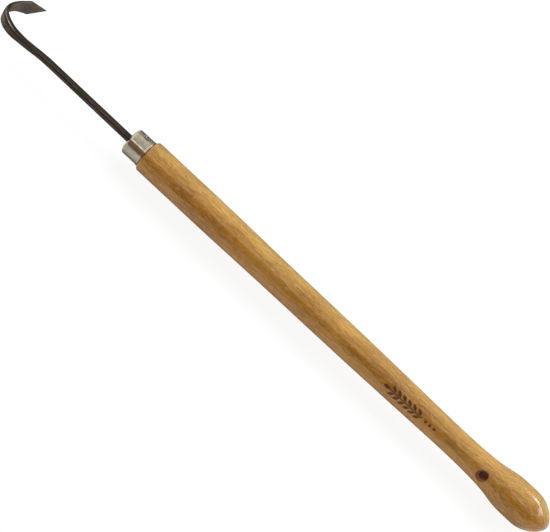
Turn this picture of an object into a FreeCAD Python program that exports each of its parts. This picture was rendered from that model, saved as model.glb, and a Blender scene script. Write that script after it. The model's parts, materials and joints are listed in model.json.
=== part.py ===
import FreeCAD, Part
import math
import os

# Hooked joint scraper, for raking weeds and moss out of the joints between paving slabs.
#
# Three separate pieces: a turned ash handle, a drawn steel ferrule crimped onto the handle's spigot,
# and a hook blade forged in one piece from round bar, with its tang driven into the handle. Nothing
# on the tool moves.
#
# Frame, in millimetres: the origin is the centre of the hanging hole, on the handle's axis. +X runs
# along the handle towards the blade. The hook is bent in the XY plane with its tip towards -Y, and
# +Z is square to that plane. Angles around the handle are counted from +Y towards +Z.

# ---- handle ----
# The turned outline from the tip of the butt to the straight front of the grip: place, radius.
TURNED_OUTLINE = [
    (-65.9, 0.0),           # tip of the butt
    (-63.8, 5.3),
    (-59.2, 10.2),
    (-53.0, 13.85),
    (-45.5, 15.95),
    (-36.5, 16.3),          # fattest part of the knob
    (-21.8, 15.7),
    (-9.3, 13.5),
    (3.2, 12.3),
    (15.7, 11.75),
    (34.5, 11.5),           # waist
    (65.5, 11.85),
    (103.5, 12.4),
    (140.5, 12.85),
    (203.5, 13.15),
    (240.5, 13.4),
    (278.5, 13.85),
    (303.5, 14.0),          # from here to the shoulder the grip is a plain cylinder
]
SHOULDER_X = 361.7
SHOULDER_ROUND = 2.9

# ---- hanging hole ----
HOLE_RADIUS = 4.0
HOLE_MOUTH_ROUND = 1.0
HOLE_ANGLE = 28.5           # degrees, direction of the hole's axis
DRILL_REACH = 20.0

# ---- ferrule ----
SHEET = 0.9
FERRULE_RADIUS = 11.55
FERRULE_BACK_X = 362.1
FERRULE_FRONT_X = 379.5
CORNER_LENGTH = 2.8         # the front corner is a quarter ellipse, this long
CORNER_HEIGHT = 5.1         # and this high
FLARE_LENGTH = 2.2
FLARE_STEP = 0.35           # how much the rim stands out
RIM_ROUND = 0.4
SHANK_HOLE_RADIUS = 3.5
DIMPLE_X = 369.8
DIMPLE_ANGLES = (108.0, 288.0)
DIMPLE_DEPTH = 1.0
PUNCH_RADIUS = 5.5
DIMPLE_EDGE_ROUND = 0.4

# ---- hook blade ----
ROD_RADIUS = 3.25
SHANK_LEAN = 0.4            # degrees that the shank leaves the handle's axis by, towards the tip
BEND_START_X = 464.3
# The bent bar beyond the straight shank, stretch by stretch: length, turn in degrees towards the tip.
BENDS = [
    (17.7, -8.0),
    (19.0, 8.9),
    (15.8, 32.6),
    (14.2, 65.9),
    (9.5, 32.4),
    (21.7, 4.6),
]
# Cross-sections of the bar: distance from the tip, width, thickness, squareness. Squareness is the
# exponent of a superellipse: 2 is round, and 6 is a bar with rounded corners.
BAR_SECTIONS = [
    (97.9, 6.5, 6.5, 2.0),
    (91.3, 6.5, 6.5, 2.0),
    (84.8, 6.5, 6.4, 2.0),
    (76.7, 6.6, 6.0, 2.4),
    (68.6, 7.0, 5.5, 3.0),
    (59.8, 8.4, 5.4, 4.0),
    (51.0, 10.2, 5.1, 4.6),
    (43.3, 11.6, 4.2, 5.0),
    (37.8, 12.1, 3.1, 5.0),
    (31.8, 11.8, 2.3, 5.0),
    (25.8, 12.0, 1.95, 5.0),
    (19.8, 13.9, 1.7, 6.0),
    (17.2, 15.2, 1.6, 6.0),
    (15.4, 16.1, 1.55, 6.0),
    (13.8, 16.2, 1.5, 6.0),     # corners of the leaf; from here to the tip its edges are straight
]
TIP_WIDTH = 0.5
TIP_THICKNESS = 1.0
SECTION_POINTS = 32
# The bar's outer corner on the +Z side is hammered rounder than the others: its squareness there is
# at most this.
HAMMERED_SQUARENESS = 2.5
# The leaf is forged a little askew: its corner on the +Z side lies further from the tip.
LEAF_SKEW = 8.0             # degrees
SKEW_START = 31.8           # distance from the tip where the skew begins
SKEW_LENGTH = 12.0          # and the length over which it grows
# The leaf's two straight edges are ground on the inside of the hook.
BEVEL_WIDTH = 1.2
EDGE_THICKNESS = 0.35
WEDGE_REACH = 2.0           # how far the cutting wedge reaches, in bevel widths

# ---- tang and its hole ----
TANG_ROUND_LENGTH = 30.0    # round part behind the shoulder, the full size of the bar
TANG_TAPER_LENGTH = 32.0
TANG_POINT_WIDTH = 3.0
TANG_SQUARENESS = 5.0
TANG_HOLE_DEPTH = 82.0      # from the end of the spigot; it ends a little past the tang's point
DRILL_POINT_HEIGHT = 1.6


def vec(x, y, z=0.0):
    return FreeCAD.Vector(x, y, z)


X_AXIS = vec(1, 0)
ORIGIN = vec(0, 0)
SPIGOT_RADIUS = FERRULE_RADIUS - SHEET
SPIGOT_END_X = FERRULE_FRONT_X - SHEET


def line(start, end):
    return Part.makeLine(vec(*start), vec(*end))


def arc(centre, radius, start_angle, end_angle):
    """Arc in the XY plane, angles in degrees."""
    return Part.makeCircle(radius, vec(*centre), vec(0, 0, 1), start_angle, end_angle)


def turned_curve(outline):
    """Smooth curve through the outline's points, starting square to the handle's axis."""
    mirrored = [vec(x, -radius) for x, radius in outline[1:]]
    curve = Part.BSplineCurve()
    curve.interpolate(Points=mirrored[::-1] + [vec(x, radius) for x, radius in outline])
    curve.segment(curve.parameter(vec(*outline[0])), curve.LastParameter)
    return curve.toShape()


def flare(start, end):
    """S-shaped step from one radius to another, along the axis at both ends."""
    middle_x = (start[0] + end[0]) / 2
    curve = Part.BezierCurve()
    curve.setPoles([vec(*start), vec(middle_x, start[1]), vec(middle_x, end[1]), vec(*end)])
    return curve.toShape()


def quarter_ellipse(face_x, side_y, length, height):
    """Rounds the corner between a side at side_y and a front face at face_x."""
    centre = vec(face_x - length, side_y - height)
    ellipse = Part.Ellipse(centre + vec(0, height), centre + vec(length, 0), centre)
    return Part.Arc(ellipse, 0, math.pi / 2).toShape()


def revolve_about_x(edges):
    """Solid of revolution about the handle's axis from a closed outline in the XY plane."""
    face = Part.Face(Part.Wire(edges))
    return face.revolve(ORIGIN, X_AXIS, 360)


def around_handle(angle):
    """Unit vector square to the handle's axis."""
    return vec(0, math.cos(math.radians(angle)), math.sin(math.radians(angle)))


def edges_between(shape, low_x, high_x, least_length):
    """Edges that lie between two places along X and reach at least a given length along X."""
    found = []
    for edge in shape.Edges:
        box = edge.BoundBox
        if box.XMin > low_x and box.XMax < high_x and box.XLength > least_length:
            found.append(edge)
    return found


def punches(radius):
    """Balls that press the ferrule's two dimples."""
    stand_off = FERRULE_RADIUS - DIMPLE_DEPTH + PUNCH_RADIUS
    balls = []
    for angle in DIMPLE_ANGLES:
        balls.append(Part.makeSphere(radius, vec(DIMPLE_X, 0) + around_handle(angle) * stand_off))
    return balls


def handle_outline():
    """Outline of the turned handle: butt, knob, grip, shoulder and spigot."""
    butt_x = TURNED_OUTLINE[0][0]
    grip_x, grip_radius = TURNED_OUTLINE[-1]
    round_x = SHOULDER_X - SHOULDER_ROUND
    round_y = grip_radius - SHOULDER_ROUND
    corner_length = CORNER_LENGTH - SHEET
    corner_height = CORNER_HEIGHT - SHEET
    return [
        turned_curve(TURNED_OUTLINE),
        line((grip_x, grip_radius), (round_x, grip_radius)),
        arc((round_x, round_y), SHOULDER_ROUND, 0, 90),
        line((SHOULDER_X, round_y), (SHOULDER_X, SPIGOT_RADIUS)),
        line((SHOULDER_X, SPIGOT_RADIUS), (SPIGOT_END_X - corner_length, SPIGOT_RADIUS)),
        quarter_ellipse(SPIGOT_END_X, SPIGOT_RADIUS, corner_length, corner_height),
        line((SPIGOT_END_X, SPIGOT_RADIUS - corner_height), (SPIGOT_END_X, 0)),
        line((SPIGOT_END_X, 0), (butt_x, 0)),
    ]


def drill_hanging_hole(body):
    """Cross-drills the handle through the origin and rounds both mouths."""
    direction = around_handle(HOLE_ANGLE)
    drill = Part.makeCylinder(HOLE_RADIUS, 2 * DRILL_REACH, direction * -DRILL_REACH, direction)
    drilled = body.cut(drill)
    near = HOLE_RADIUS + HOLE_MOUTH_ROUND
    mouths = edges_between(drilled, -near, near, HOLE_RADIUS)
    return drilled.makeFillet(HOLE_MOUTH_ROUND, mouths)


def make_handle():
    """Turned ash handle with its spigot, tang hole and hanging hole."""
    body = drill_hanging_hole(revolve_about_x(handle_outline()))
    hole_end_x = SPIGOT_END_X - TANG_HOLE_DEPTH
    bore = Part.makeCylinder(ROD_RADIUS, TANG_HOLE_DEPTH, vec(hole_end_x, 0), X_AXIS)
    drill_point = Part.makeCone(
        0, ROD_RADIUS, DRILL_POINT_HEIGHT, vec(hole_end_x - DRILL_POINT_HEIGHT, 0), X_AXIS
    )
    return body.cut([bore, drill_point] + punches(PUNCH_RADIUS + SHEET))


def make_ferrule():
    """Drawn cup with a rounded front corner, a flared rim and two crimping dimples."""
    rim_x = FERRULE_BACK_X + RIM_ROUND
    rim_radius = FERRULE_RADIUS + FLARE_STEP
    flare_x = FERRULE_BACK_X + FLARE_LENGTH
    face_radius = FERRULE_RADIUS - CORNER_HEIGHT
    cup = revolve_about_x([
        line((FERRULE_BACK_X, 0), (FERRULE_BACK_X, rim_radius - RIM_ROUND)),
        arc((rim_x, rim_radius - RIM_ROUND), RIM_ROUND, 90, 180),
        flare((rim_x, rim_radius), (flare_x, FERRULE_RADIUS)),
        line((flare_x, FERRULE_RADIUS), (FERRULE_FRONT_X - CORNER_LENGTH, FERRULE_RADIUS)),
        quarter_ellipse(FERRULE_FRONT_X, FERRULE_RADIUS, CORNER_LENGTH, CORNER_HEIGHT),
        line((FERRULE_FRONT_X, face_radius), (FERRULE_FRONT_X, 0)),
        line((FERRULE_FRONT_X, 0), (FERRULE_BACK_X, 0)),
    ])
    cup = cup.cut(punches(PUNCH_RADIUS))
    dimple_rims = edges_between(cup, DIMPLE_X - PUNCH_RADIUS, DIMPLE_X + PUNCH_RADIUS, DIMPLE_DEPTH)
    cup = cup.makeFillet(DIMPLE_EDGE_ROUND, dimple_rims)
    corner_length = CORNER_LENGTH - SHEET
    corner_height = CORNER_HEIGHT - SHEET
    hollow = revolve_about_x([
        line((FERRULE_BACK_X, 0), (FERRULE_BACK_X, SPIGOT_RADIUS)),
        line((FERRULE_BACK_X, SPIGOT_RADIUS), (SPIGOT_END_X - corner_length, SPIGOT_RADIUS)),
        quarter_ellipse(SPIGOT_END_X, SPIGOT_RADIUS, corner_length, corner_height),
        line((SPIGOT_END_X, SPIGOT_RADIUS - corner_height), (SPIGOT_END_X, 0)),
        line((SPIGOT_END_X, 0), (FERRULE_BACK_X, 0)),
    ])
    hollow = hollow.cut(punches(PUNCH_RADIUS + SHEET))
    drill_length = FERRULE_FRONT_X + SHEET - FERRULE_BACK_X
    shank_hole = Part.makeCylinder(SHANK_HOLE_RADIUS, drill_length, vec(FERRULE_BACK_X, 0), X_AXIS)
    return cup.cut([hollow, shank_hole])


def bar_frame(distance):
    """Centre of the bent bar and its heading in degrees, at a distance past the first bend.

    Short of the first bend, where the distance is negative, the bar is straight.
    """
    heading = SHANK_LEAN
    lean = math.radians(SHANK_LEAN)
    shank_length = (BEND_START_X - SPIGOT_END_X) / math.cos(lean) + min(distance, 0)
    point = vec(SPIGOT_END_X, 0) + vec(math.cos(lean), -math.sin(lean)) * shank_length
    for length, turn in BENDS:
        step = min(length, distance)
        if step <= 0:
            break
        half_turn = math.radians(turn * step / length / 2)
        chord = step * math.sin(half_turn) / half_turn
        towards = math.radians(heading) + half_turn
        point += vec(math.cos(towards), -math.sin(towards)) * chord
        heading += turn * step / length
        distance -= step
    return point, heading


def leaf_skew(from_tip):
    """Angle in degrees that a section's width is turned by, out of square to the bar."""
    return LEAF_SKEW * min(max((SKEW_START - from_tip) / SKEW_LENGTH, 0), 1)


def section_axes(heading, skew):
    """Unit vectors of a section's width, which runs along Z where the skew is 0, and its thickness."""
    heading = math.radians(heading)
    skew = math.radians(skew)
    forward = vec(math.cos(heading), -math.sin(heading))
    width_axis = vec(0, 0, math.cos(skew)) - forward * math.sin(skew)
    return width_axis, vec(-math.sin(heading), -math.cos(heading))


def bar_section(point, heading, width, thickness, squareness, skew=0, hammered=None):
    """Closed superellipse across the bar; its outer corner on the +Z side may be less square."""
    width_axis, inward = section_axes(heading, skew)
    points = []
    for i in range(SECTION_POINTS):
        turn = 2 * math.pi * i / SECTION_POINTS
        across, through = math.cos(turn), math.sin(turn)
        power = 2 / (hammered if hammered and across > 0 > through else squareness)
        across = math.copysign(abs(across) ** power, across) * width / 2
        through = math.copysign(abs(through) ** power, through) * thickness / 2
        points.append(point + width_axis * across + inward * through)
    outline = Part.BSplineCurve()
    outline.interpolate(Points=points, PeriodicFlag=True)
    return Part.Wire([outline.toShape()])


def tang_section(x, width, squareness):
    return bar_section(vec(x, 0), 0, width, width, squareness)


def grind_bevel(blade, corner, tip, inward, side):
    """Cuts the bevel along one straight edge of the leaf, between two points of its outside face."""
    along = (tip - corner).normalize()
    outward = inward.cross(along) * side
    thickness = BAR_SECTIONS[-1][2]
    run_out = BAR_SECTIONS[-1][1] / 2
    edge = corner + inward * EDGE_THICKNESS - along * run_out
    slope = inward * (thickness - EDGE_THICKNESS) - outward * BEVEL_WIDTH
    # The wedge's section is a right-angled triangle that reaches past the bevel at both ends.
    low = edge - slope * WEDGE_REACH
    high = edge + slope * WEDGE_REACH
    wedge = Part.Face(Part.makePolygon([low, high, low + inward * (high - low).dot(inward), low]))
    return blade.cut(wedge.extrude(along * (run_out + (tip - corner).Length + run_out)))


def make_hook_blade():
    """Tang, shank, hook and leaf-shaped blade, forged from one round bar."""
    bar_length = sum(length for length, turn in BENDS)
    forged = []
    for from_tip, width, thickness, squareness in BAR_SECTIONS:
        point, heading = bar_frame(bar_length - from_tip)
        skew = leaf_skew(from_tip)
        corner = min(squareness, HAMMERED_SQUARENESS)
        forged.append(bar_section(point, heading, width, thickness, squareness, skew, corner))
    tip_point, tip_heading = bar_frame(bar_length)
    tip_squareness = BAR_SECTIONS[-1][3]
    tip = bar_section(
        tip_point, tip_heading, TIP_WIDTH, TIP_THICKNESS, tip_squareness, LEAF_SKEW, HAMMERED_SQUARENESS
    )

    # The tang's corners reach just as far out as the round bar that it is drawn down from.
    rod = 2 * ROD_RADIUS
    square_width = rod / 2 ** (0.5 - 1 / TANG_SQUARENESS)
    square_x = SHOULDER_X - TANG_ROUND_LENGTH
    tang_end = tang_section(square_x - TANG_TAPER_LENGTH, TANG_POINT_WIDTH, TANG_SQUARENESS)
    tang_square = tang_section(square_x - rod, square_width, TANG_SQUARENESS)
    tang_round = tang_section(square_x, rod, 2.0)
    shank_root = tang_section(SPIGOT_END_X, rod, 2.0)
    skins = [
        Part.Face(tang_end),
        Part.makeLoft([tang_end, tang_square], False, True),
        Part.makeLoft([tang_square, tang_round], False, True),
        Part.makeLoft([tang_round, shank_root], False, True),
        Part.makeLoft([shank_root, forged[0]], False, True),
        Part.makeLoft(forged, False, False),
        Part.makeLoft([forged[-1], tip], False, True),
        Part.Face(tip),
    ]
    shell = Part.makeShell([face for skin in skins for face in skin.Faces])
    shell.sewShape()
    blade = Part.makeSolid(shell)

    corner_from_tip, corner_width, corner_thickness, squareness = BAR_SECTIONS[-1]
    corner_point = bar_frame(bar_length - corner_from_tip)[0]
    leaf_heading = tip_heading - BENDS[-1][1] * corner_from_tip / BENDS[-1][0] / 2
    width_axis, inward = section_axes(leaf_heading, LEAF_SKEW)
    for side in (1, -1):
        sideways = width_axis * side
        corner = corner_point - inward * (corner_thickness / 2) + sideways * (corner_width / 2)
        edge_tip = tip_point - inward * (TIP_THICKNESS / 2) + sideways * (TIP_WIDTH / 2)
        blade = grind_bevel(blade, corner, edge_tip, inward, side)
    return blade


PARTS = {
    "handle": make_handle,
    "ferrule": make_ferrule,
    "hook_blade": make_hook_blade,
}

os.makedirs("parts", exist_ok=True)
for name, make in PARTS.items():
    solid = make().Solids[0]
    solid.exportStep(os.path.join("parts", name + ".step"))
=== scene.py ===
"""Looks of the hooked joint scraper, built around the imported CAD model.

Three pieces stand for the three CAD nodes: a turned, varnished ash handle, a crimped plated ferrule and
a blackened forged hook. Shapes are worked out in millimetres and turned into metres when a piece's mesh
is made. Materials read the object's own coordinates, in millimetres too.
"""

import json
import math

import bmesh
import bpy
import numpy as np
from mathutils import Matrix, Vector, noise


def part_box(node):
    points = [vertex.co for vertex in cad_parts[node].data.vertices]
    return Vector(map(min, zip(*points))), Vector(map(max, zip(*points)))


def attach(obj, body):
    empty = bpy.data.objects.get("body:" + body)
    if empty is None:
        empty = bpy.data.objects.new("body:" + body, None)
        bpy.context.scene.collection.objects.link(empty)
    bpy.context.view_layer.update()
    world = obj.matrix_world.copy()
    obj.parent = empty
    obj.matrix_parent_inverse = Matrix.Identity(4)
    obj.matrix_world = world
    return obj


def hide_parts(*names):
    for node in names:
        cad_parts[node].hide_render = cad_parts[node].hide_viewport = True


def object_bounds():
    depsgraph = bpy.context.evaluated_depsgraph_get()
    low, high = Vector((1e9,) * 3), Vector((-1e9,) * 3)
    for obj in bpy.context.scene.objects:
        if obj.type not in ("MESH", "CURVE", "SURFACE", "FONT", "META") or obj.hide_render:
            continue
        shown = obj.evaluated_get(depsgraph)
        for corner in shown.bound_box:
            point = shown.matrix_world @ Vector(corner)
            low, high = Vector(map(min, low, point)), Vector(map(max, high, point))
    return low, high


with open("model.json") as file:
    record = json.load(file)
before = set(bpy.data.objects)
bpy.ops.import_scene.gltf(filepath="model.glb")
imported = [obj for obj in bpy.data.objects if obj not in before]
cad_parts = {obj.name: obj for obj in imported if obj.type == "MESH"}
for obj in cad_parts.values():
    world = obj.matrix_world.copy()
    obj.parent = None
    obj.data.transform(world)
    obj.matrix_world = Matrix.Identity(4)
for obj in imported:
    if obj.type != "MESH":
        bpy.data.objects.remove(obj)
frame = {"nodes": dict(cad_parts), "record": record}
cad_low, cad_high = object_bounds()

MM = 0.001


def box_mm(node):
    low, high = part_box(node)
    return low / MM, high / MM


# ---- what the frame says ----
HANDLE_LOW = box_mm("handle")[0]
FERRULE_LOW, FERRULE_HIGH = box_mm("ferrule")
HANG_HOLE = next(m for m in frame["record"]["mounts"] if m["name"] == "hang_hole")
HOLE_RADIUS = HANG_HOLE["dims"]["r_mm"]
HOLE_AXIS = Vector(HANG_HOLE["axis"]).normalized()
HOLE_ANGLE = math.atan2(HOLE_AXIS.z, HOLE_AXIS.y)

# ---- how the camera looks at the object ----
VIEW_TILT = math.radians(42.0)      # the camera leans this far from the object's +Z towards +Y
VIEW_TOWARDS = Vector((0, math.sin(VIEW_TILT), math.cos(VIEW_TILT)))
SIDEWAYS = Vector((0, -math.cos(VIEW_TILT), math.sin(VIEW_TILT)))   # square to it and to the handle
HANDLE_TURN = math.radians(43.023)  # how far the handle is turned in the picture
CAMERA_DISTANCE = 1.185
CAMERA_LENS = 99.2
CAMERA_AIM = (0.2291, 0.00487)      # metres along the handle and sideways from it
DIFFUSE_SHARE = 0.48        # how much of the studio's glow lights dull surfaces

# ---- handle ----
SHOULDER_X = FERRULE_LOW.x - 0.4    # a fine gap is left in front of the shoulder
SHOULDER_ROUND = 2.9
SHOULDER_ROWS = 12
HANDLE_SEGMENTS = 192
BUTT_STEP = 0.8             # distance between rings on the knob
GRIP_STEP = 1.5             # and on the grip
TANG_HOLE_STEP = 6.0
MOUTH_ROUND = 1.0
MOUTH_RINGS = 6
PATCH_COLUMNS = 16          # half the width of the patch of the lathe's grid that a mouth sits in
PATCH_RINGS = 4
BORE_RINGS = 14

# ---- burned mark: a sprig of leaves and a short row of lozenges ----
MARK_ANGLE = math.radians(29.0)
MARK_RADIUS = 12.2
STEM_START = 67.0
STEM_END = 99.0
LEAF_PITCH = 5.333
LEAF_OFFSET = 2.6
LEAF_LEAN = math.radians(38.0)
ROW_START = 50.5
ROW_PITCH = 4.4

# ---- ferrule ----
SHEET = 0.9
FLARE_STEP = 0.35
FLARE_LENGTH = 2.2
RIM_ROUND = 0.4
CORNER_LENGTH = 2.8
CORNER_HEIGHT = 5.1
SHANK_HOLE_RADIUS = 3.5
FERRULE_SEGMENTS = 288
FERRULE_STEP = 0.25
FACE_STEP = 0.6             # distance between rings on the ferrule's flat front
RIM_ROWS = 6
DIMPLE_X = FERRULE_LOW.x + 7.7
DIMPLE_ANGLES = (108.0, 288.0)
DIMPLE_DEPTH = 1.0
PUNCH_RADIUS = 5.5
DIMPLE_BLEND = 0.12         # how softly a dimple runs into the sheet around it
FERRULE_RADIUS = FERRULE_HIGH.z - FLARE_STEP
SPIGOT_RADIUS = FERRULE_RADIUS - SHEET
SPIGOT_END_X = FERRULE_HIGH.x - SHEET

# ---- hook ----
ROD_RADIUS = 3.25
SHANK_LEAN = 0.4            # degrees towards the tip
BEND_START_X = 464.3
BENDS = (                   # length of each stretch and its turn in degrees towards the tip
    (17.7, -8.0),
    (19.0, 8.9),
    (15.8, 32.6),
    (14.2, 65.9),
    (9.5, 32.4),
    (21.7, 4.6),
)
BAR_LENGTH = sum(length for length, turn in BENDS)
BAR_SECTIONS = (            # distance from the tip, width, thickness, squareness
    (97.9, 6.5, 6.5, 2.0),
    (91.3, 6.5, 6.5, 2.0),
    (84.8, 6.5, 6.4, 2.0),
    (76.7, 6.6, 6.0, 2.4),
    (68.6, 7.0, 5.5, 3.0),
    (59.8, 8.4, 5.4, 4.0),
    (51.0, 10.2, 5.1, 4.6),
    (43.3, 11.6, 4.2, 5.0),
    (37.8, 12.1, 3.1, 5.0),
    (31.8, 11.8, 2.3, 5.0),
    (25.8, 12.0, 1.95, 5.0),
    (19.8, 13.9, 1.7, 6.0),
    (17.2, 15.2, 1.6, 6.0),
    (15.4, 16.1, 1.55, 6.0),
    (13.8, 16.2, 1.5, 6.0),     # the leaf's edges are straight from here to the tip
    (0.0, 0.5, 1.0, 6.0),
)
LEAF_START = BAR_SECTIONS[-2][0]
HAMMERED_SQUARENESS = 2.5   # at most this at the outer corner on the +Z side
LEAF_SKEW = 8.0
SKEW_START = 31.8
SKEW_LENGTH = 12.0
BEVEL_WIDTH = 1.2
BEVEL_RUN_OUT = 0.8
EDGE_THICKNESS = 0.35
TANG_ROUND_LENGTH = 30.0
TANG_TAPER_LENGTH = 32.0
TANG_POINT_WIDTH = 3.0
TANG_SQUARENESS = 5.0
TANG_HOLE_DEPTH = 82.0      # from the end of the spigot
DRILL_POINT_HEIGHT = 1.6
FLAT_POINTS = 9             # points of a bar section from the middle of a face to the bevel's foot
BEVEL_POINTS = 7            # and from there round to the thin edge
BAR_STEP = 0.6
TANG_STEP = 2.0
DENT_SIZE = 5.0             # hammer dents, across
DENT_DEPTH = 0.09
DENT_ONSET = 10.0           # the dents grow to their full depth over this much of the bar

# ---- grain of the wood, and the leaf's grinding lines ----
RING_PITCH = 1.7
PITH_ANGLE = math.radians(39)
PITH_DEPTH = 58.0           # how far behind the handle's axis the growth rings have their middle
GRAIN_SWAY = 7.0
LEAF_HEADING = math.radians(46)     # direction of the lines, turned from -Y towards -X


# ---------------------------------------------------------------- mesh helpers

class Skin:
    """Points and faces of one piece, put together ring by ring, in millimetres."""

    def __init__(self):
        self.points = []
        self.faces = []

    def ring(self, points):
        start = len(self.points)
        self.points.extend(points)
        return list(range(start, len(self.points)))

    def bridge(self, one, two, leave_out=()):
        """Quads between two closed rings, or triangles where one of them is a single point."""
        count = max(len(one), len(two))
        for i in range(count):
            if i in leave_out:
                continue
            j = (i + 1) % count
            corners = (one[i % len(one)], one[j % len(one)], two[j % len(two)], two[i % len(two)])
            self.faces.append(tuple(dict.fromkeys(corners)))

    def build(self, name, sharp_angle):
        mesh = bpy.data.meshes.new(name)
        mesh.from_pydata([Vector(p) * MM for p in self.points], [], self.faces)
        work = bmesh.new()
        work.from_mesh(mesh)
        bmesh.ops.recalc_face_normals(work, faces=work.faces)
        work.to_mesh(mesh)
        work.free()
        mesh.shade_smooth()
        mesh.set_sharp_from_angle(angle=math.radians(sharp_angle))
        piece = bpy.data.objects.new(name, mesh)
        bpy.context.scene.collection.objects.link(piece)
        return piece


def around(angle):
    """Unit vector square to the handle's axis; the angle, in radians, counts from +Y towards +Z."""
    return Vector((0, math.cos(angle), math.sin(angle)))


def even_steps(start, end, step):
    """Numbers from start to end, both included, about a step apart."""
    count = max(1, round(abs(end - start) / step))
    return [start + (end - start) * i / count for i in range(count + 1)]


def quarter_round(centre_x, centre_r, length, height, count):
    """Profile of a rounded front corner, from its side to its front face."""
    turns = [math.pi / 2 * i / count for i in range(count + 1)]
    return [(centre_x + length * math.sin(t), centre_r + height * math.cos(t)) for t in turns]


def punched(x, angle, radius, punch_radius):
    """Radius of a tube's surface after the dimples are pressed in with round punches."""
    stand_off = FERRULE_RADIUS - DIMPLE_DEPTH + PUNCH_RADIUS
    for degrees in DIMPLE_ANGLES:
        turn = (angle - math.radians(degrees) + math.pi) % (2 * math.pi) - math.pi
        reach = punch_radius ** 2 - (x - DIMPLE_X) ** 2 - (stand_off * math.sin(turn)) ** 2
        if reach > 0 and abs(turn) < math.pi / 2:
            pressed = stand_off * math.cos(turn) - math.sqrt(reach)
            mean = (radius + pressed) / 2
            radius = mean - math.sqrt((radius - pressed) ** 2 / 4 + DIMPLE_BLEND ** 2)
    return radius


# ---------------------------------------------------------------- handle

def turned_radius():
    """The turned outside's radius as a function of x, measured on the CAD node's own vertices."""
    places = np.array([v.co for v in frame["nodes"]["handle"].data.vertices]) / MM
    squares = places[:, 1] ** 2 + places[:, 2] ** 2
    towards_hole = abs(places @ np.array(HOLE_AXIS)) < 0.8 * np.sqrt(squares)
    outside = (places[:, 0] < 0) | (squares > (ROD_RADIUS + 1) ** 2)
    kept = towards_hole & outside & (places[:, 0] < SHOULDER_X - SHOULDER_ROUND)
    order = np.argsort(places[kept, 0])
    xs = np.concatenate([[HANDLE_LOW.x], places[kept, 0][order]])
    values = np.concatenate([[0.0], squares[kept][order]])
    return lambda x: math.sqrt(np.interp(x, xs, values))


def knob_places(radius_at, start, end):
    """Places along X from the tip of the butt, evenly spaced along the curved outline."""
    xs = start + (end - start) * np.linspace(0, 1, 2000) ** 3
    radii = [radius_at(x) for x in xs]
    lengths = np.concatenate([[0], np.cumsum(np.hypot(np.diff(xs), np.diff(radii)))])
    return list(np.interp(even_steps(0, lengths[-1], BUTT_STEP), lengths, xs))


def mouth_point(radius_at, x, side, sideways, sunk=0.0):
    """Point of the turned surface, seen along the hanging hole's axis, sunk towards the middle."""
    across = HOLE_AXIS.cross(Vector((1, 0, 0)))
    height = math.sqrt(radius_at(x) ** 2 - sideways ** 2) - sunk
    return Vector((x, 0, 0)) + across * sideways + HOLE_AXIS * (side * height)


def add_hanging_hole(skin, rings, xs, radius_at):
    """Fills the two patches left open in the lathe's grid with a rounded mouth each, and joins them."""
    across = HOLE_AXIS.cross(Vector((1, 0, 0)))
    first = xs.index(min(xs, key=abs)) - PATCH_COLUMNS
    last = first + 2 * PATCH_COLUMNS
    count = 8 * PATCH_COLUMNS
    mouths = []
    for side, middle in ((1, 0), (-1, HANDLE_SEGMENTS // 2)):
        low, high = middle - PATCH_COLUMNS, middle + PATCH_COLUMNS
        path = [(row, low) for row in range(first, last)]
        path += [(last, column) for column in range(low, high)]
        path += [(row, high) for row in range(last, first, -1)]
        path += [(first, column) for column in range(high, low, -1)]
        loop = [rings[row][column % HANDLE_SEGMENTS] for row, column in path]
        corners = [Vector(skin.points[i]) for i in loop]
        flat = [(p.x, p.dot(across)) for p in corners]
        edge = [(math.atan2(sideways, x), x, sideways) for x, sideways in flat]
        outer = loop
        for ring in range(1, PATCH_RINGS + 1):
            share = ring / PATCH_RINGS
            reach = HOLE_RADIUS + MOUTH_ROUND
            points = []
            for angle, x, sideways in edge:
                px = x + (reach * math.cos(angle) - x) * share
                ps = sideways + (reach * math.sin(angle) - sideways) * share
                points.append(mouth_point(radius_at, px, side, ps))
            inner = skin.ring(points)
            skin.bridge(outer, inner)
            outer = inner
        for ring in range(1, MOUTH_RINGS + 1):
            roll = math.pi / 2 * ring / MOUTH_RINGS
            reach = HOLE_RADIUS + MOUTH_ROUND * (1 - math.sin(roll))
            sunk = MOUTH_ROUND * (1 - math.cos(roll))
            points = []
            for angle, x, sideways in edge:
                px, ps = reach * math.cos(angle), reach * math.sin(angle)
                points.append(mouth_point(radius_at, px, side, ps, sunk))
            inner = skin.ring(points)
            skin.bridge(outer, inner)
            outer = inner
        mouths.append((outer, [angle for angle, x, sideways in edge]))
    # Both mouths' rings are put in the same order, by angle around the hole, before they are joined.
    ordered = []
    for loop, angles in mouths:
        order = sorted(range(count), key=lambda i: angles[i])
        ordered.append([loop[i] for i in order])
    outer = ordered[0]
    for ring in range(1, BORE_RINGS):
        share = ring / BORE_RINGS
        ends = zip(ordered[0], ordered[1])
        inner = skin.ring([Vector(skin.points[a]).lerp(skin.points[b], share) for a, b in ends])
        skin.bridge(outer, inner)
        outer = inner
    skin.bridge(outer, ordered[1])


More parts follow.
